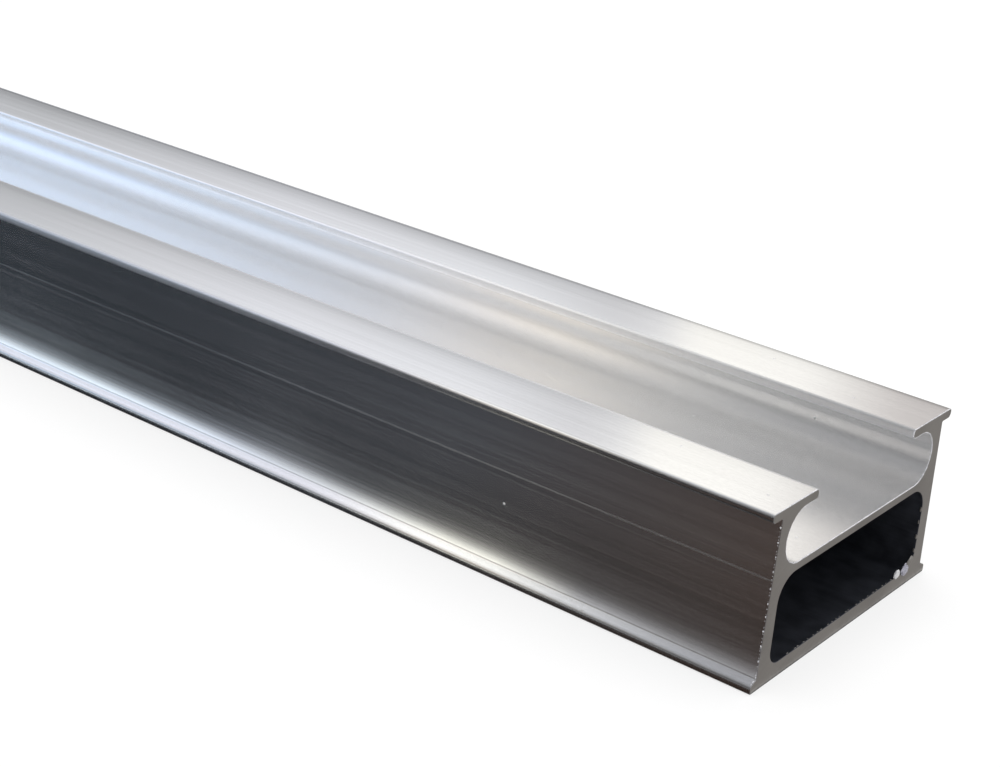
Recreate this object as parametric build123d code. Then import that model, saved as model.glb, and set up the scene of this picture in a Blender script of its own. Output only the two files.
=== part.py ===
from build123d import *
import os

# Aluminium channel profile: a closed chamber below, a wide T-shaped slot above,
# two lips at the top and two small feet at the bottom, sawn to a stock length.
# Millimetres. X runs along the bar, Y across it, and Z up from the flat underside.
# The origin is the middle of the underside.

# Overall sizes
profile_length = 1000.0
profile_height = 35.0
body_width = 58.5           # over the outer walls, just under the lips
wall_splay = 1.25           # how much further out each wall stands at its foot
lip_overhang = 3.25         # how far a lip stands out over its wall
foot_overhang = 1.8         # how far a foot stands out from its wall

# Walls
lip_thickness = 1.8
wall_thickness = 2.45       # at the top of the body, where the wall is thinnest
web_thickness = 1.6         # between the slot and the chamber
base_thickness = 3.2        # under the chamber

# Slot
slot_height = 11.0          # from the slot's floor to the underside of the lips
lip_reach = 9.3             # how far a lip covers the slot, from the slot's widest part

# Feet
foot_edge_height = 1.5      # the upright outer edge of a foot
foot_root_height = 2.4      # where the sloping top of a foot meets the wall

# Rounded corners
chamber_top_radius = 5.0
chamber_bottom_radius = 3.3
lip_upper_radius = 0.8      # outer edge of a lip, upper corner
lip_lower_radius = 0.6      # outer edge of a lip, lower corner
mouth_edge_radius = 0.5     # both edges of each lip at the slot mouth
foot_edge_radius = 0.5
foot_root_radius = 0.8      # hollow corner between foot and wall

# Heights and widths that follow from the sizes above
lip_underside = profile_height - lip_thickness
slot_floor = lip_underside - slot_height
chamber_top = slot_floor - web_thickness
chamber_height = chamber_top - base_thickness
inner_width = body_width - 2 * wall_thickness
slot_mouth_width = inner_width - 2 * lip_reach
body_width_bottom = body_width + 2 * wall_splay
lip_width = body_width + 2 * lip_overhang
foot_width = body_width_bottom + 2 * foot_overhang

# A corner takes at most this share of the wall or hollow that it rounds
corner_share = 0.45
# Positions closer than this count as the same when corners are picked
pick_tolerance = 0.01


def limited(radius, room):
    """Keep a corner radius within the wall or hollow that it rounds."""
    return min(radius, corner_share * room)


def corners_at(sketch, half_width, height):
    """The left and right corners of a sketch at one half width and height."""
    picked = []
    for corner in sketch.vertices():
        same_width = abs(abs(corner.X) - half_width) < pick_tolerance
        same_height = abs(corner.Y - height) < pick_tolerance
        if same_width and same_height:
            picked.append(corner)
    return picked


def rounded_corners(sketch, half_width, height, radius):
    """Round the left and right corners of a sketch that lie at one place."""
    return fillet(corners_at(sketch, half_width, height), radius)


def outer_shape():
    """The profile without its hollows: feet, splayed walls and top lips."""
    right_half = [
        (foot_width / 2, 0),
        (foot_width / 2, foot_edge_height),
        (body_width_bottom / 2, foot_root_height),
        (body_width / 2, lip_underside),
        (lip_width / 2, lip_underside),
        (lip_width / 2, profile_height),
    ]
    left_half = [(-across, up) for across, up in reversed(right_half)]
    shape = make_face(Polyline(*right_half, *left_half, close=True))

    foot_round = limited(foot_edge_radius, foot_edge_height)
    shape = rounded_corners(shape, foot_width / 2, 0, foot_round)
    shape = rounded_corners(shape, foot_width / 2, foot_edge_height, foot_round)
    root_round = limited(foot_root_radius, foot_overhang)
    shape = rounded_corners(shape, body_width_bottom / 2, foot_root_height, root_round)
    upper_round = limited(lip_upper_radius, lip_thickness)
    lower_round = limited(lip_lower_radius, lip_thickness)
    shape = rounded_corners(shape, lip_width / 2, profile_height, upper_round)
    return rounded_corners(shape, lip_width / 2, lip_underside, lower_round)


def slot_shape():
    """The slot: a cavity with half-round ends, open upwards between the lips."""
    cavity_middle = slot_floor + slot_height / 2
    cavity = Pos(0, cavity_middle) * SlotOverall(inner_width, slot_height)
    mouth_height = profile_height - cavity_middle
    mouth_middle = cavity_middle + mouth_height / 2
    mouth = Pos(0, mouth_middle) * Rectangle(slot_mouth_width, mouth_height)
    return cavity + mouth


def chamber_shape():
    """The closed chamber, with larger corners under the web than on the base."""
    chamber_middle = base_thickness + chamber_height / 2
    shape = Pos(0, chamber_middle) * Rectangle(inner_width, chamber_height)
    top_round = limited(chamber_top_radius, chamber_height)
    bottom_round = limited(chamber_bottom_radius, chamber_height)
    shape = rounded_corners(shape, inner_width / 2, chamber_top, top_round)
    return rounded_corners(shape, inner_width / 2, base_thickness, bottom_round)


def section():
    """The whole cross-section, with the edges of the slot mouth rounded."""
    shape = outer_shape() - slot_shape() - chamber_shape()
    edge_round = limited(mouth_edge_radius, lip_thickness)
    shape = rounded_corners(shape, slot_mouth_width / 2, profile_height, edge_round)
    return rounded_corners(shape, slot_mouth_width / 2, lip_underside, edge_round)


def channel_profile():
    """The bar: its section run out along X, half the length to each side."""
    start = Plane.YZ.offset(-profile_length / 2)
    return extrude(start * section(), amount=profile_length)


os.makedirs("parts", exist_ok=True)
export_step(channel_profile(), "parts/channel_profile.step")
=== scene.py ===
import math
import bmesh
import bpy
from mathutils import Matrix, Vector, noise


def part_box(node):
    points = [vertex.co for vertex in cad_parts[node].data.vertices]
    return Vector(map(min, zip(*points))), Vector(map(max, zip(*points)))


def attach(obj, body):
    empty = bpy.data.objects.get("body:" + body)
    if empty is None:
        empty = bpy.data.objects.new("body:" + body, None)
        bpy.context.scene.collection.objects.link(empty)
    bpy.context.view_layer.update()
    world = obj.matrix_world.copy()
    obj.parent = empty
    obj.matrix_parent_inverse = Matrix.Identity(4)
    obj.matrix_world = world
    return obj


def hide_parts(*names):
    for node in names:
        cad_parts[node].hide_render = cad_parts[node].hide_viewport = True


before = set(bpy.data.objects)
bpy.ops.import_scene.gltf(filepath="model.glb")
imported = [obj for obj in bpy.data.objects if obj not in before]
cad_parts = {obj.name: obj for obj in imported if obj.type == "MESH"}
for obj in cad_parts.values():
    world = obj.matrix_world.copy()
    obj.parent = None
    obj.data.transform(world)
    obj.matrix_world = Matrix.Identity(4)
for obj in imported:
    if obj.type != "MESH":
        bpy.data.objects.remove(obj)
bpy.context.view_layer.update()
mm = 0.001
print("frame loaded")


# Helpers for node trees

def makeNode(tree, kind, settings=None, inputs=None):
    node = tree.nodes.new(kind)
    for name, value in (settings or {}).items():
        setattr(node, name, value)
    for name, value in (inputs or {}).items():
        feed(tree, node.inputs[name], value)
    return node


def feed(tree, socket, value):
    if isinstance(value, bpy.types.NodeSocket):
        tree.links.new(value, socket)
    else:
        socket.default_value = value


def doMath(tree, operation, first, second=0.0, third=0.0):
    node = makeNode(tree, "ShaderNodeMath", {"operation": operation})
    for socket, value in zip(node.inputs, (first, second, third)):
        feed(tree, socket, value)
    return node.outputs[0]


def multiply(tree, first, *others):
    for other in others:
        first = doMath(tree, "MULTIPLY", first, other)
    return first


def doVector(tree, operation, first, second=(0, 0, 0)):
    node = makeNode(tree, "ShaderNodeVectorMath", {"operation": operation})
    feed(tree, node.inputs[0], first)
    feed(tree, node.inputs[1], second)
    return node.outputs["Vector"]


def scaleVector(tree, vector, factor):
    node = makeNode(tree, "ShaderNodeVectorMath", {"operation": "SCALE"})
    feed(tree, node.inputs[0], vector)
    feed(tree, node.inputs["Scale"], factor)
    return node.outputs["Vector"]


def makeVector(tree, x=0.0, y=0.0, z=0.0):
    return makeNode(tree, "ShaderNodeCombineXYZ", {}, {"X": x, "Y": y, "Z": z}).outputs["Vector"]


def remap(tree, value, lowIn, highIn, lowOut=0.0, highOut=1.0, smooth=False):
    node = makeNode(tree, "ShaderNodeMapRange", {
        "interpolation_type": "SMOOTHSTEP" if smooth else "LINEAR"})
    for name, number in (("Value", value), ("From Min", lowIn), ("From Max", highIn),
                         ("To Min", lowOut), ("To Max", highOut)):
        feed(tree, node.inputs[name], number)
    return node.outputs["Result"]


def mixColour(tree, factor, first, second):
    node = makeNode(tree, "ShaderNodeMix", {"data_type": "RGBA"})
    for index, value in ((0, factor), (6, first), (7, second)):
        feed(tree, node.inputs[index], value)
    return node.outputs[2]


def mixNumber(tree, factor, first, second):
    node = makeNode(tree, "ShaderNodeMix", {"data_type": "FLOAT"})
    for index, value in ((0, factor), (2, first), (3, second)):
        feed(tree, node.inputs[index], value)
    return node.outputs[0]


def makeRamp(tree, factor, stops):
    ramp = makeNode(tree, "ShaderNodeValToRGB", {}, {"Fac": factor})
    while len(ramp.color_ramp.elements) < len(stops):
        ramp.color_ramp.elements.new(0.5)
    for element, (place, colour) in zip(ramp.color_ramp.elements, stops):
        element.position = place
        element.color = (*colour, 1.0)
    return ramp.outputs["Color"]


def makeGreyRamp(tree, factor, stops):
    return makeRamp(tree, factor, [(place, (value, value, value)) for place, value in stops])


def addSocket(tree, name, inOut, kind, value=None):
    socket = tree.interface.new_socket(name=name, in_out=inOut, socket_type=kind)
    if value is not None:
        socket.default_value = value


# Camera: the photo's viewing angle, with the photo's slight tilt

view = {
    "place": (0.640903, -0.302049, 0.183258),
    "right": (0.781729, 0.619090, 0.075014),
    "up": (-0.298801, 0.266256, 0.916420),
    "lens": 72.513,
    "sensorWidth": 36.0,
    "clip": (0.01, 100.0),      # metres
    "glossyBounces": 16,        # the slot mirrors itself many times over
    "maxBounces": 18,
}


def makeCamera():
    lens = bpy.data.cameras.new("studioCamera")
    lens.lens = view["lens"]
    lens.sensor_fit = "HORIZONTAL"
    lens.sensor_width = view["sensorWidth"]
    lens.clip_start, lens.clip_end = view["clip"]
    camera = bpy.data.objects.new("studioCamera", lens)
    right = Vector(view["right"]).normalized()
    up = Vector(view["up"])
    up = (up - right * up.dot(right)).normalized()
    turn = Matrix((right, up, right.cross(up))).transposed()
    camera.matrix_world = Matrix.Translation(view["place"]) @ turn.to_4x4()
    bpy.context.scene.collection.objects.link(camera)
    bpy.context.scene.camera = camera


makeCamera()
bpy.context.scene.view_settings.view_transform = "Standard"
bpy.context.scene.cycles.glossy_bounces = view["glossyBounces"]
bpy.context.scene.cycles.max_bounces = view["maxBounces"]
print("camera placed")


# Shader groups that several finishes share

groupShape = {
    "lineTone": (0.38, 0.62),   # noise values that become 0 and 1
    "patchTone": (0.35, 0.65),
    "pitRim": (0.018, 0.032),   # distances from its middle between which a pit fades out
}


def makeDieLineGroup():
    tree = bpy.data.node_groups.new("dieLines", "ShaderNodeTree")
    addSocket(tree, "Vector", "INPUT", "NodeSocketVector")
    # Noise scales across the bar, and the share of them along it
    addSocket(tree, "Fine Lines", "INPUT", "NodeSocketFloat", 2600.0)
    addSocket(tree, "Broad Lines", "INPUT", "NodeSocketFloat", 420.0)
    addSocket(tree, "Stretch", "INPUT", "NodeSocketFloat", 0.004)
    addSocket(tree, "Tone", "OUTPUT", "NodeSocketFloat")
    addSocket(tree, "Height", "OUTPUT", "NodeSocketFloat")
    given = makeNode(tree, "NodeGroupInput").outputs
    stretch = makeVector(tree, given["Stretch"], 1.0, 1.0)
    place = doVector(tree, "MULTIPLY", given["Vector"], stretch)
    fine = makeNode(tree, "ShaderNodeTexNoise", {}, {
        "Vector": place, "Scale": given["Fine Lines"], "Detail": 3.0, "Roughness": 0.7})
    broad = makeNode(tree, "ShaderNodeTexNoise", {}, {
        "Vector": place, "Scale": given["Broad Lines"], "Detail": 4.0, "Roughness": 0.65})
    both = mixNumber(tree, 0.5, fine.outputs["Fac"], broad.outputs["Fac"])
    result = makeNode(tree, "NodeGroupOutput")
    feed(tree, result.inputs["Tone"], remap(tree, both, *groupShape["lineTone"]))
    feed(tree, result.inputs["Height"], both)
    return tree


def makeMarkGroup():
    tree = bpy.data.node_groups.new("handlingMarks", "ShaderNodeTree")
    addSocket(tree, "Vector", "INPUT", "NodeSocketVector")
    addSocket(tree, "Flat Vector", "INPUT", "NodeSocketVector")  # X and Y count, on the surface
    addSocket(tree, "Patch Scale", "INPUT", "NodeSocketFloat", 22.0)
    addSocket(tree, "Pit Scale", "INPUT", "NodeSocketFloat", 95.0)
    addSocket(tree, "Pit Share", "INPUT", "NodeSocketFloat", 0.12)
    addSocket(tree, "Patches", "OUTPUT", "NodeSocketFloat")
    addSocket(tree, "Pits", "OUTPUT", "NodeSocketFloat")
    given = makeNode(tree, "NodeGroupInput").outputs
    patches = makeNode(tree, "ShaderNodeTexNoise", {}, {
        "Vector": given["Vector"], "Scale": given["Patch Scale"], "Detail": 2.0})
    cells = makeNode(tree, "ShaderNodeTexVoronoi", {"voronoi_dimensions": "2D"}, {
        "Vector": given["Flat Vector"], "Scale": given["Pit Scale"]})
    dot = remap(tree, cells.outputs["Distance"], *groupShape["pitRim"], 1.0, 0.0)
    chance = makeNode(tree, "ShaderNodeSeparateColor", {}, {"Color": cells.outputs["Color"]})
    chosen = doMath(tree, "LESS_THAN", chance.outputs["Red"], given["Pit Share"])
    result = makeNode(tree, "NodeGroupOutput")
    feed(tree, result.inputs["Patches"],
         remap(tree, patches.outputs["Fac"], *groupShape["patchTone"]))
    feed(tree, result.inputs["Pits"], doMath(tree, "MULTIPLY", dot, chosen))
    return tree


dieLineGroup = makeDieLineGroup()
markGroup = makeMarkGroup()
print("shader groups built")


# Materials

def startMaterial(name):
    material = bpy.data.materials.new(name)
    material.use_nodes = True
    material.node_tree.nodes.clear()
    return material, material.node_tree


def showSurface(tree, surface):
    result = makeNode(tree, "ShaderNodeOutputMaterial")
    feed(tree, result.inputs["Surface"], surface)


def startMetal(name):
    material, tree = startMaterial(name)
    shader = makeNode(tree, "ShaderNodeBsdfPrincipled")
    showSurface(tree, shader.outputs["BSDF"])
    return material, tree, shader, makeNode(tree, "ShaderNodeTexCoord").outputs["Object"]


def placeGroup(tree, group, place, values=None):
    inputs = {"Vector": place, **(values or {})}
    return makeNode(tree, "ShaderNodeGroup", {"node_tree": group}, inputs).outputs


lipUnderside = 33.2             # mm; the lips' lower faces

millFinish = {
    "lightMetal": (0.88, 0.88, 0.885, 1.0),
    "greyMetal": (0.80, 0.80, 0.805, 1.0),
    "smoothest": 0.147,         # roughness between the die lines
    "roughest": 0.166,          # roughness on the die lines
    "lineDepth": 1.5e-6,        # metres
    "anisotropy": 0.97,
    "glossTurn": 0.25,          # turns the widest gloss across the die lines
    "webLine": (21.5, 0.21),    # line that the web leaves on the walls: height, half width, mm
    "webLineExtra": 0.13,       # extra roughness on it
    "secondLine": (20.1, 0.3),
    "secondLineExtra": 0.02,
    "lineFade": (0.4, 1.3),     # shares of the half width between which a line fades out
    "patchExtra": 0.02,
    "pitExtra": 0.3,
    "pitMetal": 0.65,           # how metallic a handling pit still is
    "slotLitMetal": (0.985, 0.985, 0.985, 1.0),  # lighter metal in the slot: painted light
    "slotHalf": 26.95,          # where that metal is, mm
    "slotHeights": (22.1, 34.7),
    "slotSide": 21.3,           # outside this the slot's sides are a little rougher, mm
    "sideExtra": 0.06,
    "farShade": (30.6, 32.0),   # across the bar, where painted shade darkens the far lip's edge, mm
    "farTone": 0.60,            # share of the tone that is left there
    "nearShade": (-31.5, -32.2),  # the same painted shade on the near lip's edge
    "nearTone": 0.80,
    "footShade": (31.5, 32.35),  # and the same painted shade on both feet's outer edges
    "footTone": 0.6,
    "underLip": (33.1, 33.85, 34.0),  # heights of the painted shade along a lip's lower outer edge, mm
    "underLipTone": 0.30,
    "mouthEdge": (17.2, 18.3),  # across the bar, the worn edges of the slot mouth, mm
    "mouthWear": (0.10, 0.22),  # extra roughness there, far along the bar and near the cut
    "outerEdge": (31.7, 32.6),  # across the bar, the worn outer edges of the lips, mm
    "outerWear": (0.28, 0.0),
    "wallHalf": 28.8,           # outside this and above the foot the walls show streaks, mm
    "wallLow": 2.9,
    "streaks": {"Fine Lines": 3000.0, "Broad Lines": 700.0, "Stretch": 0.0016},
    "streakTone": (0.90, 1.11),
    "grainScale": 2600.0,
    "grainStretch": (0.35, 1.0, 1.0),
    "grainRange": (0.35, 0.65),  # noise values that give the tones below
    "grainTone": (0.965, 1.015),
    "markFade": (0.33, 0.48),   # from here to there along the bar, metres, marks grow clearer
    "faintMark": 0.45,          # share of a mark that is left before that
}


def makeMillFinish():
    look = millFinish
    material, tree, shader, place = startMetal("millFinish")
    axes = makeNode(tree, "ShaderNodeSeparateXYZ", {}, {"Vector": place}).outputs
    sideways, height = axes["Y"], axes["Z"]
    across = doMath(tree, "ABSOLUTE", sideways)

    def above(value, limit):
        return doMath(tree, "GREATER_THAN", value, limit * mm)

    def below(value, limit):
        return doMath(tree, "LESS_THAN", value, limit * mm)

    def ease(value, limits, low, high, smooth=True):
        return remap(tree, value, limits[0] * mm, limits[1] * mm, low, high, smooth)

    def alongBar(far, near):
        return remap(tree, axes["X"], *look["markFade"], far, near)

    def toneOn(mask, tone):
        return mixNumber(tree, mask, 1.0, tone)

    def wallLine(middle, half):
        away = doMath(tree, "ABSOLUTE", doMath(tree, "SUBTRACT", height, middle * mm))
        start, end = look["lineFade"]
        return ease(away, (start * half, end * half), 1.0, 0.0)

    onLip = above(height, lipUnderside)
    onFoot = below(height, look["wallLow"])
    offBody = above(across, look["wallHalf"])
    aboveFoot = ease(height, (look["wallLow"], 2 * look["wallLow"]), 0.0, 1.0, False)
    onWall = multiply(tree, offBody, below(height, lipUnderside), aboveFoot)
    floor, ceiling = look["slotHeights"]
    inSlot = multiply(tree, below(across, look["slotHalf"]),
                      above(height, floor), below(height, ceiling))

    def onEdge(low, high):
        return multiply(tree, above(across, low), below(across, high), onLip)

    lines = placeGroup(tree, dieLineGroup, place)
    streaks = placeGroup(tree, dieLineGroup, place, look["streaks"])
    flat = makeVector(tree, axes["X"], doMath(tree, "ADD", sideways, height))
    marks = placeGroup(tree, markGroup, place, {"Flat Vector": flat})
    grain = makeNode(tree, "ShaderNodeTexNoise", {}, {
        "Vector": doVector(tree, "MULTIPLY", place, look["grainStretch"]),
        "Scale": look["grainScale"], "Detail": 2.0})
    clear = alongBar(look["faintMark"], 1.0)
    pits = multiply(tree, marks["Pits"], alongBar(0.0, 1.0))
    # Painted shade along the lips' lower outer edges
    low, high, end = look["underLip"]
    underLipShade = multiply(tree, offBody, above(height, low),
                     ease(height, (high, end), 1.0, 0.0, False), clear)

    # Tone: painted shade on the lips' and feet's outer edges and along the lips' lower edges, times
    # the walls' streaks and the grain
    streakTone = remap(tree, streaks["Tone"], 0.0, 1.0, *look["streakTone"])
    grainTone = remap(tree, grain.outputs["Fac"], *look["grainRange"], *look["grainTone"])
    shade = multiply(
        tree,
        ease(sideways, look["farShade"], 1.0, look["farTone"]),
        toneOn(onLip, ease(sideways, look["nearShade"], 1.0, look["nearTone"])),
        toneOn(onWall, streakTone),
        toneOn(onFoot, ease(across, look["footShade"], 1.0, look["footTone"])),
        toneOn(underLipShade, look["underLipTone"]),
        toneOn(alongBar(0.0, 1.0), grainTone))
    metal = mixColour(tree, lines["Tone"], look["greyMetal"], look["lightMetal"])
    # Painted light: lighter metal inside the slot
    metal = mixColour(tree, inSlot, metal, look["slotLitMetal"])
    feed(tree, shader.inputs["Base Color"], scaleVector(tree, metal, shade))
    feed(tree, shader.inputs["Metallic"], remap(tree, pits, 0.0, 1.0, 1.0, look["pitMetal"]))

    rough = mixNumber(tree, lines["Tone"], look["smoothest"], look["roughest"])
    for mask, extra in (
            (multiply(tree, wallLine(*look["webLine"]), clear), look["webLineExtra"]),
            (wallLine(*look["secondLine"]), look["secondLineExtra"]),
            (marks["Patches"], look["patchExtra"]),
            (pits, look["pitExtra"]),
            (multiply(tree, inSlot, above(across, look["slotSide"])), look["sideExtra"]),
            (onEdge(*look["mouthEdge"]), alongBar(*look["mouthWear"])),
            (onEdge(*look["outerEdge"]), alongBar(*look["outerWear"]))):
        rough = doMath(tree, "MULTIPLY_ADD", mask, extra, rough)
    feed(tree, shader.inputs["Roughness"], rough)
    bump = makeNode(tree, "ShaderNodeBump", {}, {
        "Strength": 1.0, "Distance": look["lineDepth"], "Height": lines["Height"]})
    feed(tree, shader.inputs["Normal"], bump.outputs["Normal"])
    feed(tree, shader.inputs["Tangent"], makeVector(tree, 1.0, 0.0, 0.0))
    shader.inputs["Anisotropic"].default_value = look["anisotropy"]
    shader.inputs["Anisotropic Rotation"].default_value = look["glossTurn"]
    return material


sawnFinish = {
    "lightMetal": (0.44, 0.425, 0.405, 1.0),
    "darkMetal": (0.35, 0.335, 0.32, 1.0),
    "bladeCentre": (-95.0, 165.0),  # mm, where the saw blade's axle was
    "arcScale": 1500.0,         # noise scale of the arcs that the blade left
    "grainScale": 2600.0,
    "grainShare": 0.45,         # of the relief; the rest is arcs
    "marks": {"Patch Scale": 60.0, "Pit Scale": 700.0, "Pit Share": 0.25},
    "patchShare": 0.35,         # of the tone; the rest is the relief's
    "toneRange": (0.3, 0.7),
    "roughness": 0.46,
    "pitExtra": -0.12,          # a pit is glossier
    "markDepth": 6.0e-6,        # metres
    "lowEdge": (0.15, 0.50),    # height of the painted contact shadow along the lowest edge, mm
    "lowEdgeTone": 0.10,
}


def makeSawnFinish():
    look = sawnFinish
    material, tree, shader, place = startMetal("sawnFinish")
    axes = makeNode(tree, "ShaderNodeSeparateXYZ", {}, {"Vector": place}).outputs
    marks = placeGroup(tree, markGroup, place, {
        "Flat Vector": makeVector(tree, axes["Y"], axes["Z"]), **look["marks"]})
    across, up = look["bladeCentre"]
    fromBlade = doVector(tree, "SUBTRACT", place, (0, across * mm, up * mm))
    reach = makeNode(tree, "ShaderNodeVectorMath", {"operation": "LENGTH"})
    feed(tree, reach.inputs[0], doVector(tree, "MULTIPLY", fromBlade, (0, 1, 1)))
    arcs = makeNode(tree, "ShaderNodeTexNoise", {}, {
        "Vector": makeVector(tree, reach.outputs["Value"]),
        "Scale": look["arcScale"], "Detail": 3.0})
    grain = makeNode(tree, "ShaderNodeTexNoise", {}, {
        "Vector": place, "Scale": look["grainScale"], "Detail": 3.0, "Roughness": 0.7})
    relief = mixNumber(tree, look["grainShare"], arcs.outputs["Fac"], grain.outputs["Fac"])
    tone = mixNumber(tree, look["patchShare"], relief, marks["Patches"])
    tone = remap(tree, tone, *look["toneRange"])
    metal = mixColour(tree, tone, look["darkMetal"], look["lightMetal"])
    # Painted contact shadow along the lowest edge
    low, high = look["lowEdge"]
    edge = remap(tree, axes["Z"], low * mm, high * mm, look["lowEdgeTone"], 1.0, True)
    feed(tree, shader.inputs["Base Color"], scaleVector(tree, metal, edge))
    bump = makeNode(tree, "ShaderNodeBump", {}, {
        "Strength": 1.0, "Distance": look["markDepth"], "Height": relief})
    feed(tree, shader.inputs["Normal"], bump.outputs["Normal"])
    rough = doMath(tree, "MULTIPLY_ADD", marks["Pits"], look["pitExtra"], look["roughness"])
    feed(tree, shader.inputs["Roughness"], rough)
    shader.inputs["Metallic"].default_value = 1.0
    return material


tornShape = {                   # what all torn and broken metal shares
    "patchScale": 900.0,
    "roughness": (0.38, 0.24),  # where it is grey and where it is bright
}
burrFinish = {
    "brightMetal": (0.96, 0.96, 0.98, 1.0),
    "greyMetal": (0.74, 0.74, 0.78, 1.0),
    "metallic": 0.55,           # torn metal also scatters light
}
edgeFinish = {                  # the small edges that the saw broke
    "brightMetal": (0.62, 0.62, 0.63, 1.0),
    "greyMetal": (0.40, 0.40, 0.41, 1.0),
    "metallic": 0.9,
}


def makeTornFinish(name, look):
    material, tree, shader, place = startMetal(name)
    marks = placeGroup(tree, markGroup, place, {"Patch Scale": tornShape["patchScale"]})
    patches = marks["Patches"]
    metal = mixColour(tree, patches, look["greyMetal"], look["brightMetal"])
    feed(tree, shader.inputs["Base Color"], metal)
    feed(tree, shader.inputs["Roughness"], remap(tree, patches, 0.0, 1.0, *tornShape["roughness"]))
    shader.inputs["Metallic"].default_value = look["metallic"]
    return material


# Near-black metal in the chamber: painted shade inside the hollow
chamberShadeFinish = {
    "lightMetal": (0.080, 0.087, 0.108, 1.0),
    "darkMetal": (0.036, 0.039, 0.050, 1.0),
    "lines": {"Fine Lines": 1900.0, "Stretch": 0.02},
    "patchScale": 260.0,
    "patchShare": 0.6,          # of the tone; the rest is die lines
    "roughness": 0.42,
    "lightExtra": 0.12,         # extra roughness where the metal is light
    "metallic": 0.75,
}


def makeChamberShadeFinish():
    look = chamberShadeFinish
    material, tree, shader, place = startMetal("chamberShadeFinish")
    lines = placeGroup(tree, dieLineGroup, place, look["lines"])
    marks = placeGroup(tree, markGroup, place, {"Patch Scale": look["patchScale"]})
    tone = mixNumber(tree, look["patchShare"], lines["Tone"], marks["Patches"])
    metal = mixColour(tree, tone, look["darkMetal"], look["lightMetal"])
    feed(tree, shader.inputs["Base Color"], metal)
    rough = doMath(tree, "MULTIPLY_ADD", tone, look["lightExtra"], look["roughness"])
    feed(tree, shader.inputs["Roughness"], rough)
    shader.inputs["Metallic"].default_value = look["metallic"]
    return material


millMaterial = makeMillFinish()
sawnMaterial = makeSawnFinish()
burrMaterial = makeTornFinish("burrFinish", burrFinish)
edgeMaterial = makeTornFinish("edgeFinish", edgeFinish)
chamberShadeMaterial = makeChamberShadeFinish()
print("materials built")


# Helpers for geometry trees

def startTree(name, inputs):
    tree = bpy.data.node_groups.new(name, "GeometryNodeTree")
    addSocket(tree, "Geometry", "INPUT", "NodeSocketGeometry")
    for label, (kind, value) in inputs.items():
        addSocket(tree, label, "INPUT", kind, value)
    addSocket(tree, "Geometry", "OUTPUT", "NodeSocketGeometry")
    return tree, makeNode(tree, "NodeGroupInput").outputs, makeNode(tree, "NodeGroupOutput")


def runTree(name, startMesh, tree, values):
    source = bpy.data.objects.new(name + "Source", startMesh)
    bpy.context.scene.collection.objects.link(source)
    modifier = source.modifiers.new("tree", "NODES")
    modifier.node_group = tree
    for item in tree.interface.items_tree:
        if item.in_out == "INPUT" and item.name in values:
            modifier[item.identifier] = values[item.name]
    bpy.context.view_layer.update()
    solved = source.evaluated_get(bpy.context.evaluated_depsgraph_get())
    mesh = bpy.data.meshes.new_from_object(solved)
    mesh.name = name
    bpy.data.objects.remove(source)
    piece = bpy.data.objects.new(name, mesh)
    bpy.context.scene.collection.objects.link(piece)
    return piece


joinGap = 1e-7                  # metres; closer points are one


def finishMesh(piece, sharpAngle):
    mesh = piece.data
    work = bmesh.new()
    work.from_mesh(mesh)
    bmesh.ops.remove_doubles(work, verts=work.verts, dist=joinGap)
    bmesh.ops.recalc_face_normals(work, faces=work.faces)
    work.to_mesh(mesh)
    work.free()
    mesh.shade_smooth()
    mesh.set_sharp_from_angle(angle=math.radians(sharpAngle))


def dropAttributes(mesh, names):
    for name in names:
        if name in mesh.attributes:
            mesh.attributes.remove(mesh.attributes[name])


# The bar: one section run out along its length, with a small broken edge at each saw cut

barSize = {                     # millimetres
    "height": lipUnderside + 1.8,
    "bodyWidth": 58.5,
    "wallSplay": 1.25,
    "lipOverhang": 3.25,
    "footOverhang": 1.8,
    "wallThickness": 2.45,
    "webThickness": 1.6,
    "baseThickness": 3.2,
    "slotHeight": 11.0,
    "lipReach": 9.3,
    "footEdgeHeight": 1.5,
    "footRootHeight": 2.4,
    "slotSideRadius": 5.49,
    "chamberTopRadius": 5.0,
    "chamberBottomRadius": 3.3,
    "lipUpperRadius": 0.5,
    "lipLowerRadius": 1.0,
    "lipRootRadius": 0.2,
    "mouthEdgeRadius": 0.5,
    "footLowerRadius": 0.4,
    "footUpperRadius": 0.5,
    "footRootRadius": 0.35,
    "edgeBreak": 0.08,
    "arcDetail": (1800.0, 4.0),  # points on a corner: more per metre of radius, and at least
    "seamGap": 0.001,           # closer points of shell and caps are joined
    "chamberFrom": 0.4,         # faces whose "hollow" is above this are the chamber's
    "sharpAngle": 30.0,         # degrees
}
innerHalf = barSize["bodyWidth"] / 2 - barSize["wallThickness"]
slotFloor = lipUnderside - barSize["slotHeight"]
chamberTop = slotFloor - barSize["webThickness"]
chamberBottom = barSize["baseThickness"]
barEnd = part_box("channel_profile")[1].x
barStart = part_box("channel_profile")[0].x


def wallReach(height):
    rise = (lipUnderside - height) / (lipUnderside - barSize["footRootHeight"])
    return barSize["bodyWidth"] / 2 + barSize["wallSplay"] * rise


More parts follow.
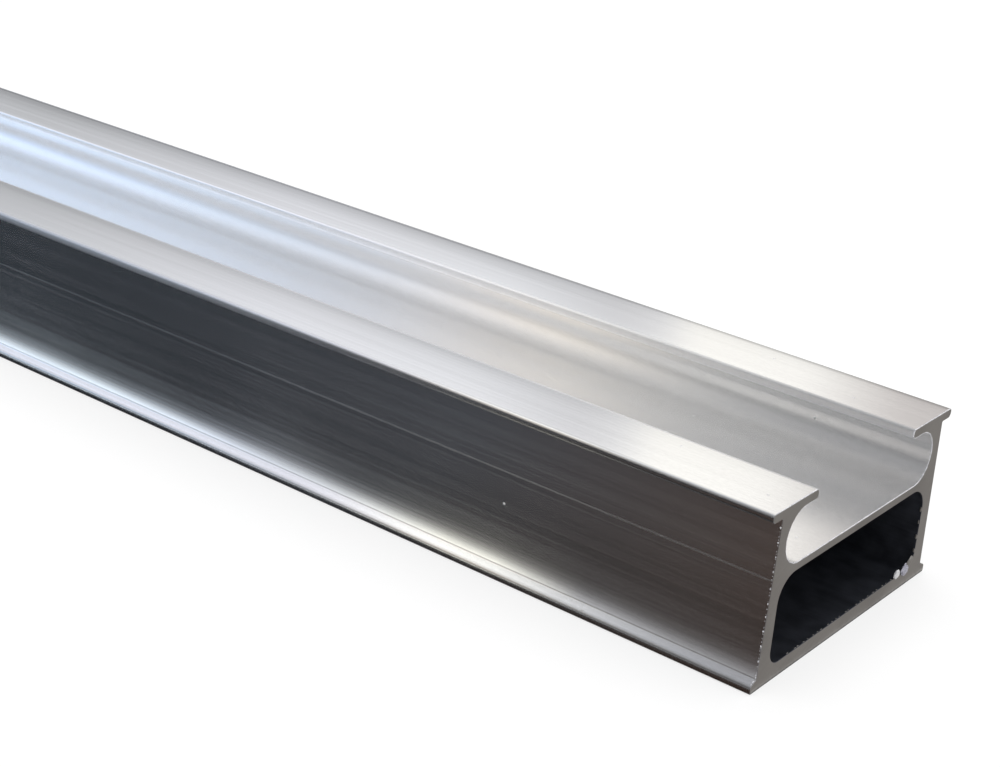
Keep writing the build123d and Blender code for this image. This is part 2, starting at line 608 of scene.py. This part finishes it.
def outerCorners():
    size = barSize
    footRoot = wallReach(size["footRootHeight"])
    footTip = footRoot + size["footOverhang"]
    lipTip = size["bodyWidth"] / 2 + size["lipOverhang"]
    mouthHalf = innerHalf - size["lipReach"]
    right = [                   # across, up, corner radius
        (footTip, 0.0, size["footLowerRadius"]),
        (footTip, size["footEdgeHeight"], size["footUpperRadius"]),
        (footRoot, size["footRootHeight"], size["footRootRadius"]),
        (size["bodyWidth"] / 2, lipUnderside, size["lipRootRadius"]),
        (lipTip, lipUnderside, size["lipLowerRadius"]),
        (lipTip, size["height"], size["lipUpperRadius"]),
        (mouthHalf, size["height"], size["mouthEdgeRadius"]),
        (mouthHalf, lipUnderside, size["mouthEdgeRadius"]),
        (innerHalf, lipUnderside, size["slotSideRadius"]),
        (innerHalf, slotFloor, size["slotSideRadius"]),
    ]
    return right + [(-across, up, radius) for across, up, radius in reversed(right)]


def chamberCorners():
    top = (innerHalf, chamberTop, barSize["chamberTopRadius"])
    bottom = (innerHalf, chamberBottom, barSize["chamberBottomRadius"])
    return [top, bottom, (-bottom[0], *bottom[1:]), (-top[0], *top[1:])]


def loopMesh(name, loops):
    mesh = bpy.data.meshes.new(name)
    points, edges, radii, hollow = [], [], [], []
    for turn, loop in enumerate(loops):
        first = len(points)
        for index, (across, up, radius) in enumerate(loop):
            points.append((across * mm, up * mm, 0.0))
            radii.append(radius * mm)
            hollow.append(float(turn))  # the second loop is the chamber
            edges.append((first + index, first + (index + 1) % len(loop)))
    mesh.from_pydata(points, edges, [])
    for label, values in (("cornerRadius", radii), ("hollow", hollow)):
        layer = mesh.attributes.new(label, "FLOAT", "POINT")
        layer.data.foreach_set("value", values)
    return mesh


def makeRunOutTree():
    tree, given, result = startTree("runOutSection", {
        "Length": ("NodeSocketFloat", 1.0),
        "Edge Break": ("NodeSocketFloat", 0.0001),
        "Long Finish": ("NodeSocketMaterial", None),
        "Cut Finish": ("NodeSocketMaterial", None),
        "Edge Finish": ("NodeSocketMaterial", None),
        "Chamber Shade Finish": ("NodeSocketMaterial", None),
    })
    edgeBreak = given["Edge Break"]
    path = makeNode(tree, "GeometryNodeMeshToCurve", {}, {"Mesh": given["Geometry"]})
    radius = makeNode(tree, "GeometryNodeInputNamedAttribute", {"data_type": "FLOAT"}, {
        "Name": "cornerRadius"}).outputs["Attribute"]
    arcPoints = doMath(tree, "MULTIPLY_ADD", radius, *barSize["arcDetail"])
    rounded = makeNode(tree, "GeometryNodeFilletCurve", {"mode": "POLY"}, {
        "Curve": path.outputs["Curve"], "Radius": radius, "Count": arcPoints, "Limit Radius": True})
    tangent = makeNode(tree, "GeometryNodeInputTangent").outputs["Tangent"]
    sideways = doVector(tree, "CROSS_PRODUCT", tangent, (0, 0, 1))
    marked = makeNode(tree, "GeometryNodeStoreNamedAttribute", {
        "data_type": "FLOAT_VECTOR", "domain": "POINT"}, {
        "Geometry": rounded.outputs["Curve"], "Name": "outward", "Value": sideways})
    outward = makeNode(tree, "GeometryNodeInputNamedAttribute", {"data_type": "FLOAT_VECTOR"}, {
        "Name": "outward"}).outputs["Attribute"]
    grow = scaleVector(tree, outward, edgeBreak)
    shrink = scaleVector(tree, grow, -1.0)
    ring = makeNode(tree, "GeometryNodeSetPosition", {}, {
        "Geometry": marked.outputs["Geometry"], "Offset": shrink}).outputs["Geometry"]
    wire = makeNode(tree, "GeometryNodeCurveToMesh", {}, {"Curve": ring}).outputs["Mesh"]

    def pullOut(mesh, chosen, distance, spread=None):
        pulled = makeNode(tree, "GeometryNodeExtrudeMesh", {"mode": "EDGES"}, {
            "Mesh": mesh, "Offset": makeVector(tree, 0.0, 0.0, distance), "Offset Scale": 1.0})
        if chosen is not None:
            feed(tree, pulled.inputs["Selection"], chosen)
        moved = pulled.outputs["Mesh"]
        if spread is not None:
            moved = makeNode(tree, "GeometryNodeSetPosition", {}, {
                "Geometry": moved, "Selection": pulled.outputs["Top"], "Offset": spread})
            moved = moved.outputs["Geometry"]
        return moved, pulled.outputs["Top"]

    runLength = doMath(tree, "SUBTRACT", given["Length"], doMath(tree, "MULTIPLY", edgeBreak, 2.0))
    shell, top = pullOut(wire, None, edgeBreak, grow)
    shell, top = pullOut(shell, top, runLength)
    shell, top = pullOut(shell, top, edgeBreak, shrink)
    cap = makeNode(tree, "GeometryNodeFillCurve", {"mode": "TRIANGLES"}, {"Curve": ring})
    cap = makeNode(tree, "GeometryNodeStoreNamedAttribute", {
        "data_type": "BOOLEAN", "domain": "FACE"}, {
        "Geometry": cap.outputs["Mesh"], "Name": "sawn", "Value": True}).outputs["Geometry"]
    farCap = makeNode(tree, "GeometryNodeTransform", {}, {
        "Geometry": cap, "Translation": makeVector(tree, 0.0, 0.0, given["Length"])})
    joined = makeNode(tree, "GeometryNodeJoinGeometry")
    for part in (shell, cap, farCap.outputs["Geometry"]):
        tree.links.new(part, joined.inputs["Geometry"])
    merged = makeNode(tree, "GeometryNodeMergeByDistance", {}, {
        "Geometry": joined.outputs["Geometry"], "Distance": barSize["seamGap"] * mm})
    backward = doMath(tree, "MULTIPLY", given["Length"], -0.5)
    laid = makeNode(tree, "GeometryNodeTransform", {}, {
        "Geometry": merged.outputs["Geometry"], "Rotation": (math.pi / 2, 0.0, math.pi / 2),
        "Translation": makeVector(tree, backward, 0.0, 0.0)})
    real = makeNode(tree, "GeometryNodeRealizeInstances", {}, {
        "Geometry": laid.outputs["Geometry"]})
    sawn = makeNode(tree, "GeometryNodeInputNamedAttribute", {"data_type": "BOOLEAN"}, {
        "Name": "sawn"}).outputs["Attribute"]
    middle = makeNode(tree, "ShaderNodeSeparateXYZ", {}, {
        "Vector": makeNode(tree, "GeometryNodeInputPosition").outputs["Position"]})
    fromMiddle = doMath(tree, "ABSOLUTE", middle.outputs["X"])
    nearCut = doMath(tree, "ADD", backward, doMath(tree, "ADD", fromMiddle, edgeBreak))
    done = makeNode(tree, "GeometryNodeSetMaterial", {}, {
        "Geometry": real.outputs["Geometry"], "Material": given["Long Finish"]})
    hollow = makeNode(tree, "GeometryNodeInputNamedAttribute", {"data_type": "FLOAT"}, {
        "Name": "hollow"}).outputs["Attribute"]
    inChamber = doMath(tree, "GREATER_THAN", hollow, barSize["chamberFrom"])
    for chosen, finish in ((nearCut, "Edge Finish"), (inChamber, "Chamber Shade Finish"),
                           (sawn, "Cut Finish")):
        done = makeNode(tree, "GeometryNodeSetMaterial", {}, {
            "Geometry": done.outputs["Geometry"], "Selection": chosen, "Material": given[finish]})
    feed(tree, result.inputs["Geometry"], done.outputs["Geometry"])
    return tree


def makeBar():
    loops = loopMesh("sectionLoops", [outerCorners(), chamberCorners()])
    bar = runTree("extrudedBar", loops, makeRunOutTree(), {
        "Length": barEnd - barStart,
        "Edge Break": barSize["edgeBreak"] * mm,
        "Long Finish": millMaterial,
        "Cut Finish": sawnMaterial,
        "Edge Finish": edgeMaterial,
        "Chamber Shade Finish": chamberShadeMaterial,
    })
    dropAttributes(bar.data, ("cornerRadius", "hollow", "outward", "sawn"))
    finishMesh(bar, barSize["sharpAngle"])
    return bar


bar = makeBar()
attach(bar, "root")
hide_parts("channel_profile")
print("bar built:", len(bar.data.polygons), "faces")


# Saw burr: beads that follow the cut edges

burrSize = {                    # millimetres
    "inset": 0.22,              # behind the cut
    "rimInset": 0.10,
    "wallSpan": (3.0, 31.5),    # heights where the rows on the near wall start and end
    "footTip": (-31.9, 1.75),
    "footBend": (0.1, 2.5),     # out from the wall, and up
    "footTop": 3.4,
    "floorSpan": (-20.0, 22.0),
    "scallopSpan": (6.6, 15.4),
    "rimReach": 2.5,            # how far the bright rim runs out over the lips
    "bendSteps": 10,
    "beadGrain": 2,             # subdivisions
    "smallest": (0.6, 0.45, 0.45),  # of the bead radius
    "largest": (1.3, 1.1, 1.1),
    "seedStep": 7.0,            # between the seeds of drift and size
    "sharpAngle": 60.0,         # degrees
}
burrRows = {                    # millimetres between beads, bead radius, stretch, drift, seed
    "wallBurr": (2.6, 0.18, 1.0, 0.3, 3),  # the saw leaves a bright bead this often
    "wallCrumbs": (0.8, 0.08, 1.2, 0.4, 11),
    "footCrumbs": (0.6, 0.12, 1.2, 0.3, 21),
    "slotRim": (0.34, 0.13, 2.0, 0.15, 14),  # a finer bright line round the slot
    "chamberCrumbs": (1.7, 0.15, 1.8, 0.9, 5),
    "chamberScallops": (2.6, 0.27, 2.6, 0.2, 8),
}


def makeBeadTree():
    tree, given, result = startTree("burrBeads", {
        "Pitch": ("NodeSocketFloat", 0.0026),
        "Bead": ("NodeSocketFloat", 0.0002),
        "Stretch": ("NodeSocketFloat", 1.5),
        "Drift": ("NodeSocketFloat", 0.0002),
        "Seed": ("NodeSocketInt", 1),
        "Finish": ("NodeSocketMaterial", None),
    })
    path = makeNode(tree, "GeometryNodeMeshToCurve", {}, {"Mesh": given["Geometry"]})
    spaced = makeNode(tree, "GeometryNodeResampleCurve", {"mode": "LENGTH"}, {
        "Curve": path.outputs["Curve"], "Length": given["Pitch"]})
    tangent = makeNode(tree, "GeometryNodeInputTangent").outputs["Tangent"]
    slide = makeNode(tree, "FunctionNodeRandomValue", {"data_type": "FLOAT"})
    feed(tree, slide.inputs[2], -1.0)
    feed(tree, slide.inputs[3], 1.0)
    feed(tree, slide.inputs["Seed"], given["Seed"])
    along = doMath(tree, "MULTIPLY", slide.outputs[1], given["Drift"])
    moved = makeNode(tree, "GeometryNodeSetPosition", {}, {
        "Geometry": spaced.outputs["Curve"], "Offset": scaleVector(tree, tangent, along)})
    bead = makeNode(tree, "GeometryNodeMeshIcoSphere", {}, {
        "Radius": 1.0, "Subdivisions": burrSize["beadGrain"]})
    faceAlong = makeNode(tree, "FunctionNodeAlignRotationToVector", {"axis": "X"}, {
        "Vector": tangent})
    size = makeNode(tree, "FunctionNodeRandomValue", {"data_type": "FLOAT_VECTOR"})
    feed(tree, size.inputs[0], burrSize["smallest"])
    feed(tree, size.inputs[1], burrSize["largest"])
    feed(tree, size.inputs["Seed"], doMath(tree, "ADD", given["Seed"], burrSize["seedStep"]))
    stretch = makeVector(tree, given["Stretch"], 1.0, 1.0)
    scale = scaleVector(tree, doVector(tree, "MULTIPLY", size.outputs[0], stretch), given["Bead"])
    placed = makeNode(tree, "GeometryNodeInstanceOnPoints", {}, {
        "Points": moved.outputs["Geometry"], "Instance": bead.outputs["Mesh"],
        "Rotation": faceAlong.outputs["Rotation"], "Scale": scale})
    real = makeNode(tree, "GeometryNodeRealizeInstances", {}, {
        "Geometry": placed.outputs["Instances"]})
    done = makeNode(tree, "GeometryNodeSetMaterial", {}, {
        "Geometry": real.outputs["Geometry"], "Material": given["Finish"]})
    feed(tree, result.inputs["Geometry"], done.outputs["Geometry"])
    return tree


def pathMesh(name, points):
    mesh = bpy.data.meshes.new(name)
    mesh.from_pydata([(x, y * mm, z * mm) for x, y, z in points],
                     [(index, index + 1) for index in range(len(points) - 1)], [])
    return mesh


beadTree = makeBeadTree()
cutX = barEnd - burrSize["inset"] * mm
wallLow, wallHigh = burrSize["wallSpan"]
footOut, footUp = burrSize["footBend"]
footTop = burrSize["footTop"]


def cutPath(*points):
    return [(cutX, across, up) for across, up in points]


def bendPath(across, up, radius, start, end):
    steps = burrSize["bendSteps"]
    turns = [math.radians(start + (end - start) * step / steps) for step in range(steps + 1)]
    return [(across + radius * math.cos(turn), up + radius * math.sin(turn)) for turn in turns]


def slotRimPath():
    side = innerHalf - barSize["slotSideRadius"]
    middle = slotFloor + barSize["slotHeight"] / 2
    mouth = innerHalf - barSize["lipReach"]
    top, edge = barSize["height"], barSize["mouthEdgeRadius"]
    half = [(0.0, slotFloor), *bendPath(side, middle, barSize["slotSideRadius"], -90, 90),
            (mouth + edge, lipUnderside), (mouth, lipUnderside + edge),
            (mouth, top - edge), (mouth + edge, top),
            (barSize["bodyWidth"] / 2 + burrSize["rimReach"], top)]
    mirrored = [(-across, up) for across, up in reversed(half[1:])]
    rimX = barEnd - burrSize["rimInset"] * mm
    return [(rimX, across, up) for across, up in mirrored + half]


def makeBurr(name, path, finish):
    pitch, bead, stretch, drift, seed = burrRows[name]
    burr = runTree(name, pathMesh(name + "Path", path), beadTree, {
        "Pitch": pitch * mm, "Bead": bead * mm, "Stretch": stretch, "Drift": drift * mm,
        "Seed": seed, "Finish": finish})
    finishMesh(burr, burrSize["sharpAngle"])
    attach(burr, "root")


nearWallPath = cutPath((-wallReach(wallLow), wallLow), (-wallReach(wallHigh), wallHigh))
footPath = cutPath(burrSize["footTip"], (-wallReach(wallLow) - footOut, footUp),
                   (-wallReach(footTop), footTop))
chamberFloorPath = cutPath(*((across, chamberBottom) for across in burrSize["floorSpan"]))
farSidePath = cutPath(*((innerHalf, up) for up in burrSize["scallopSpan"]))
for name, path, finish in (
        ("wallBurr", nearWallPath, burrMaterial), ("wallCrumbs", nearWallPath, burrMaterial),
        ("footCrumbs", footPath, burrMaterial), ("slotRim", slotRimPath(), burrMaterial),
        ("chamberCrumbs", chamberFloorPath, sawnMaterial),
        ("chamberScallops", farSidePath, sawnMaterial)):
    makeBurr(name, path, finish)
print("burr beads built")


# Chips and burr that the saw left hanging on the chamber's lower corner

chipSize = {                    # millimetres and degrees
    "brightChip": {
        "place": (0.15, 20.0, 3.9), "half": (0.35, 1.1, 0.9), "spin": 15.0, "fold": 0.32},
    "greyChip": {
        "place": (0.15, 23.3, 3.7), "half": (0.35, 1.5, 1.25), "spin": -35.0, "fold": 0.35},
    "cornerBurr": {
        "place": (0.0, 25.2, 4.5), "half": (0.25, 0.9, 1.5), "spin": -48.0, "fold": 0.3},
    "foldScale": 1.15,
    "fineFolds": (0.4, 2.3),    # their share, and how much finer they are
    "swell": 0.45,
    "foldDepth": 2.0,
    "grain": 3,                 # subdivisions
    "sharpAngle": 50.0,
}
chipFinish = {
    "brightMetal": (0.50, 0.50, 0.58, 1.0),
    "greyMetal": (0.34, 0.34, 0.41, 1.0),
    "metallic": 0.3,
}


def makeChip(name, size, material):
    work = bmesh.new()
    bmesh.ops.create_icosphere(work, subdivisions=chipSize["grain"], radius=1.0)
    share, finer = chipSize["fineFolds"]
    for point in work.verts:
        place = point.co * chipSize["foldScale"] + Vector(size["place"])
        crumple = abs(noise.noise(place)) + share * abs(noise.noise(place * finer))
        point.co *= 1.0 + size["fold"] * (chipSize["swell"] - chipSize["foldDepth"] * crumple)
    turn = Matrix.Rotation(math.radians(size["spin"]), 4, "X")
    ahead, across, up = size["place"]
    shift = Matrix.Translation((barEnd + ahead * mm, across * mm, up * mm))
    stretch = Matrix.Diagonal((*size["half"], 1.0))
    work.transform(shift @ Matrix.Scale(mm, 4) @ turn @ stretch)
    mesh = bpy.data.meshes.new(name)
    work.to_mesh(mesh)
    work.free()
    mesh.materials.append(material)
    chip = bpy.data.objects.new(name, mesh)
    bpy.context.scene.collection.objects.link(chip)
    finishMesh(chip, chipSize["sharpAngle"])
    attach(chip, "root")


chipMaterial = makeTornFinish("chipFinish", chipFinish)
for name, finish in (("brightChip", burrMaterial), ("greyChip", chipMaterial),
                     ("cornerBurr", sawnMaterial)):
    makeChip(name, chipSize[name], finish)
print("chips built")


# Stage: floor, cards that only reflections see, soft lamp and world

stageSize = {                   # metres
    "floorHalf": 8.0,
    "floorDrop": 0.0001,
    "floorColour": (0.93, 0.93, 0.93, 1.0),
    "floorRoughness": 0.9,
    "floorGlow": 0.70,          # how much of the floor the camera sees as plain white
    "lampPlace": (0.2, 0.1, 1.9),
    "lampSize": 1.6,
    "lampPower": 14.0,
}
plainWhite = (1.0, 1.0, 1.0, 1.0)


def makePlane(name, alongBar, across, height, material):
    (x0, x1), (y0, y1) = alongBar, across
    mesh = bpy.data.meshes.new(name)
    mesh.from_pydata([(x0, y0, height), (x1, y0, height), (x1, y1, height), (x0, y1, height)],
                     [], [(0, 1, 2, 3)])
    mesh.materials.append(material)
    plane = bpy.data.objects.new(name, mesh)
    bpy.context.scene.collection.objects.link(plane)
    return plane


def makeFloor():
    size = stageSize
    material, tree = startMaterial("paleFloor")
    shader = makeNode(tree, "ShaderNodeBsdfPrincipled", {}, {
        "Base Color": size["floorColour"], "Roughness": size["floorRoughness"],
        "Specular IOR Level": 0.0})
    glow = makeNode(tree, "ShaderNodeEmission", {}, {"Color": plainWhite})
    seen = makeNode(tree, "ShaderNodeLightPath").outputs["Is Camera Ray"]
    share = doMath(tree, "MULTIPLY", seen, size["floorGlow"])
    blend = makeNode(tree, "ShaderNodeMixShader", {}, {"Fac": share})
    feed(tree, blend.inputs[1], shader.outputs["BSDF"])
    feed(tree, blend.inputs[2], glow.outputs["Emission"])
    showSurface(tree, blend.outputs["Shader"])
    half, drop = size["floorHalf"], -size["floorDrop"]
    makePlane("paleFloor", (-half, half), (-half, half), drop, material)


def startCard(name):
    material, tree = startMaterial(name)
    glow = makeNode(tree, "ShaderNodeEmission")
    showSurface(tree, glow.outputs["Emission"])
    return material, tree, glow.inputs["Color"]


def makeCard(name, alongBar, across, height, material):
    card = makePlane(name, alongBar, across, height, material)
    for rays in ("visible_camera", "visible_diffuse", "visible_transmission",
                 "visible_volume_scatter", "visible_shadow"):
        setattr(card, rays, False)


bandCard = {                    # lies before and behind the bar, for its walls to mirror
    "height": 0.0002,
    "innerEdge": 0.0319,
    "outerEdge": 1.2,
    "frontSpan": (-1.5, 0.9),   # along the bar
    "backSpan": (-1.5, 0.5),
    "footDark": (0.0343, 0.0350),   # dark up to the first, bright from the second
    "wallDark": (0.0356, 0.0416),   # bright up to the first, dark from the second
    "toneSpan": (0.20, 0.50),   # along the bar, the tones' 0 and 1
    "darkTones": [
        (0.0, (0.0155, 0.018, 0.022)),
        (0.35, (0.017, 0.0195, 0.024)),
        (0.667, (0.034, 0.036, 0.042)),
        (0.85, (0.040, 0.033, 0.031)),
        (1.0, (0.042, 0.027, 0.021)),
    ],
    "brightTones": [
        (0.0, (1.80, 2.00, 2.20)),
        (0.40, (1.78, 2.00, 2.20)),
        (0.55, (1.50, 1.62, 1.82)),
        (0.66, (1.42, 1.47, 1.52)),
        (0.75, (2.00, 1.98, 1.80)),
        (0.79, (2.00, 1.98, 1.80)),
        (0.86, (0.76, 0.77, 0.79)),
        (0.95, (0.54, 0.55, 0.57)),
        (1.0, (0.50, 0.50, 0.52)),
    ],
    "darkReach": 0.12,          # the dark tones' own shades, across the bar up to here
    "darkShades": [
        (0.36, 1.15),
        (0.42, 0.68),
        (0.50, 1.15),
        (0.59, 1.85),
        (0.69, 2.20),
        (0.77, 1.32),
        (1.0, 1.20),
    ],
}


def makeBandMaterial(name):
    card = bandCard
    material, tree, colour = startCard(name)
    place = makeNode(tree, "ShaderNodeTexCoord").outputs["Object"]
    axes = makeNode(tree, "ShaderNodeSeparateXYZ", {}, {"Vector": place}).outputs
    alongBar = remap(tree, axes["X"], *card["toneSpan"])
    across = doMath(tree, "ABSOLUTE", axes["Y"])
    outward = doMath(tree, "DIVIDE", across, card["darkReach"])
    bright = makeRamp(tree, alongBar, card["brightTones"])
    dark = doVector(tree, "MULTIPLY", makeRamp(tree, alongBar, card["darkTones"]),
                    makeGreyRamp(tree, outward, card["darkShades"]))
    away = remap(tree, across, *card["wallDark"], 0.0, 1.0, True)
    under = remap(tree, across, *card["footDark"], 1.0, 0.0, True)
    feed(tree, colour, mixColour(tree, doMath(tree, "MAXIMUM", away, under), bright, dark))
    return material


sideCard = {                    # lies beyond the sawn end and keeps it grey
    "height": 0.0003,
    "alongSpan": (0.5003, 1.6),
    "acrossSpan": (-0.032, 1.6),
    "colour": (0.40, 0.385, 0.375, 1.0),
}


def makeSideMaterial(name):
    material, tree, colour = startCard(name)
    feed(tree, colour, sideCard["colour"])
    return material


makeFloor()
inner, outer = bandCard["innerEdge"], bandCard["outerEdge"]
makeCard("frontBand", bandCard["frontSpan"], (-outer, -inner), bandCard["height"],
         makeBandMaterial("frontBand"))
makeCard("backBand", bandCard["backSpan"], (inner, outer), bandCard["height"],
         makeBandMaterial("backBand"))
makeCard("sideCard", sideCard["alongSpan"], sideCard["acrossSpan"], sideCard["height"],
         makeSideMaterial("sideCard"))
print("floor and cards placed")


def makeLamp():
    data = bpy.data.lights.new("softLamp", "AREA")
    data.shape = "SQUARE"
    data.size = stageSize["lampSize"]
    data.energy = stageSize["lampPower"]
    lamp = bpy.data.objects.new("softLamp", data)
    lamp.location = stageSize["lampPlace"]
    lamp.visible_glossy = False  # the metal mirrors the world's light instead
    bpy.context.scene.collection.objects.link(lamp)


studio = {                      # what the metal mirrors, by how far a ray leans along the bar
    "backLight": [              # on the +Y side: lean (-1 is towards -X) and colour
        (-1.0, (0.56, 0.58, 0.61)),
        (-0.74, (0.58, 0.59, 0.61)),
        (-0.70, (0.68, 0.69, 0.72)),
        (-0.64, (0.82, 0.83, 0.87)),
        (-0.56, (0.87, 0.88, 0.91)),
        (-0.51, (0.73, 0.73, 0.75)),
        (-0.488, (0.85, 0.85, 0.86)),
        (-0.480, (1.16, 1.14, 1.08)),
        (-0.425, (1.14, 1.12, 1.07)),
        (-0.38, (0.70, 0.66, 0.64)),
        (-0.30, (0.60, 0.57, 0.55)),
        (-0.15, (0.80, 0.80, 0.80)),
        (0.10, (1.05, 1.05, 1.05)),
        (0.60, (1.0, 1.0, 1.0)),
        (1.0, (0.45, 0.44, 0.42)),
    ],
    "topLight": [               # overhead
        (-1.0, (0.58, 0.59, 0.61)),
        (-0.80, (0.72, 0.73, 0.77)),
        (-0.72, (1.25, 1.27, 1.40)),
        (-0.65, (1.24, 1.26, 1.40)),
        (-0.595, (1.32, 1.32, 1.44)),
        (-0.555, (1.90, 1.90, 1.82)),
        (-0.53, (1.90, 1.90, 1.78)),
        (-0.485, (1.05, 1.07, 1.12)),
        (-0.443, (0.72, 0.74, 0.79)),
        (-0.40, (0.57, 0.58, 0.62)),
        (1.0, (0.42, 0.42, 0.42)),
    ],
    "frontLight": [             # on the -Y side
        (-1.0, (0.70, 0.75, 0.82)),
        (-0.86, (0.90, 1.0, 1.12)),
        (-0.77, (1.08, 1.31, 1.66)),
        (-0.65, (0.86, 0.96, 1.12)),
        (-0.59, (0.86, 0.88, 0.95)),
        (-0.56, (1.13, 1.06, 1.00)),
        (-0.53, (1.20, 1.10, 0.96)),
        (-0.515, (1.03, 0.97, 0.90)),
        (-0.49, (0.65, 0.64, 0.63)),
        (-0.455, (0.455, 0.455, 0.46)),
        (-0.41, (0.35, 0.35, 0.36)),
        (-0.36, (0.31, 0.31, 0.32)),
        (1.0, (0.31, 0.31, 0.31)),
    ],
    "backRise": [               # share of the light by height, 0 at the horizon, 1 overhead
        (0.05, 0.30),
        (0.18, 0.85),
        (0.30, 1.0),
        (0.55, 1.0),
        (0.68, 1.12),
    ],
    "farBackRise": [            # the same for light from far along the bar
        (0.04, 0.06),
        (0.20, 0.35),
        (0.38, 1.0),
        (0.55, 1.0),
        (0.68, 1.12),
    ],
    "frontRise": [
        (0.02, 0.12),
        (0.14, 0.62),
        (0.24, 0.68),
        (0.34, 0.58),
        (0.50, 0.63),
        (0.62, 0.95),
        (0.75, 1.0),
        (0.92, 0.88),
    ],
    "farFrom": (-0.49, -0.56),  # lean from which the far shares count
    "backFrom": (0.25, 0.65),   # 1 is level towards +Y; the back light fades in between these
    "frontFrom": (-0.12, -0.42),
}


def makeWorld():
    sky = bpy.data.worlds.new("softStudio")
    bpy.context.scene.world = sky
    sky.use_nodes = True
    tree = sky.node_tree
    tree.nodes.clear()
    direction = makeNode(tree, "ShaderNodeTexCoord").outputs["Generated"]
    axes = makeNode(tree, "ShaderNodeSeparateXYZ", {}, {"Vector": direction}).outputs
    lean = remap(tree, axes["X"], -1.0, 1.0)
    leanSquared = doMath(tree, "MULTIPLY", axes["X"], axes["X"])
    turned = doMath(tree, "SQRT", doMath(tree, "SUBTRACT", 1.0, leanSquared))
    across = doMath(tree, "DIVIDE", axes["Y"], turned)  # 1 level towards +Y, 0 straight up
    rise = doMath(tree, "DIVIDE", axes["Z"], turned)

    def bandOf(name):
        return makeRamp(tree, lean, [(0.5 + place / 2, colour) for place, colour in studio[name]])

    isFar = remap(tree, axes["X"], *studio["farFrom"])
    backShare = mixColour(tree, isFar, makeGreyRamp(tree, rise, studio["backRise"]),
                          makeGreyRamp(tree, rise, studio["farBackRise"]))
    back = doVector(tree, "MULTIPLY", bandOf("backLight"), backShare)
    top = bandOf("topLight")
    front = doVector(tree, "MULTIPLY", bandOf("frontLight"),
                     makeGreyRamp(tree, rise, studio["frontRise"]))
    mirrored = mixColour(tree, remap(tree, across, *studio["backFrom"], 0.0, 1.0, True),
                         top, back)
    mirrored = mixColour(tree, remap(tree, across, *studio["frontFrom"], 0.0, 1.0, True),
                         mirrored, front)
    rays = makeNode(tree, "ShaderNodeLightPath").outputs
    colour = mixColour(tree, rays["Is Glossy Ray"], plainWhite, mirrored)
    light = makeNode(tree, "ShaderNodeBackground", {}, {"Color": colour, "Strength": 1.0})
    result = makeNode(tree, "ShaderNodeOutputWorld")
    feed(tree, result.inputs["Surface"], light.outputs["Background"])


makeLamp()
makeWorld()
print("lamp and world set")

bpy.context.view_layer.update()
